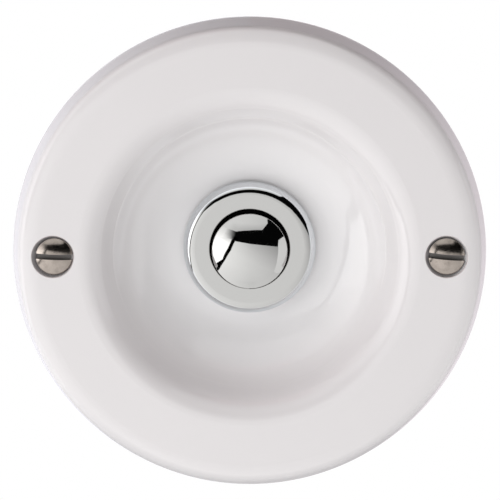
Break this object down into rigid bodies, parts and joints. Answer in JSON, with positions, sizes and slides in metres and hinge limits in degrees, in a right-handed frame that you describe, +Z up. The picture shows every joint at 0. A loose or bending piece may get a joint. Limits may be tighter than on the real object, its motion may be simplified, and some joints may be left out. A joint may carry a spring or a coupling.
{
  "type": "doorbell push button",
  "caption": "Round white glazed ceramic bell push with a deep finger dish, a chrome collar and a sprung chrome dome button over a contact block, fixed to a wall by slotted screws.",
  "frame": {"origin": "centre of the back of the ceramic, on the wall plane", "axes": "+Z up as it hangs on the wall, +Y into the wall, so the front looks along -Y"},
  "size_m": [0.076, 0.0365, 0.076],
  "materials": {
    "white_glaze": "gloss",
    "chrome_plate": "polished",
    "nickel_plate": "polished",
    "brass": "satin",
    "black_phenolic": "satin",
    "red_fibre": "matte",
    "soft_washer": "matte",
    "spring_steel": "polished",
    "nylon": "satin"
  },
  "bodies": {
    "rose_body": {"rose": "white_glaze", "bezel": "chrome_plate", "bezel_gasket": "soft_washer", "clamp_washer": "red_fibre", "lock_nut": "brass", "contact_block": "black_phenolic", "left_contact": "brass", "right_contact": "brass", "terminal_inserts": "brass", "terminal_washers": "brass", "terminal_screws": "brass", "return_spring": "spring_steel", "fixing_screws": "nickel_plate"},
    "button_body": {"push_button": "chrome_plate", "plunger": "nylon", "contact_bridge": "brass"}
  },
  "joints": [
    {"name": "button_press", "type": "slide", "parent": "rose_body", "child": "button_body", "axis": [0, 1, 0], "range_m": [0, 0.002], "stiffness_N_per_m": 700, "springref_m": -0.003, "deforming": ["return_spring"]}
  ]
}
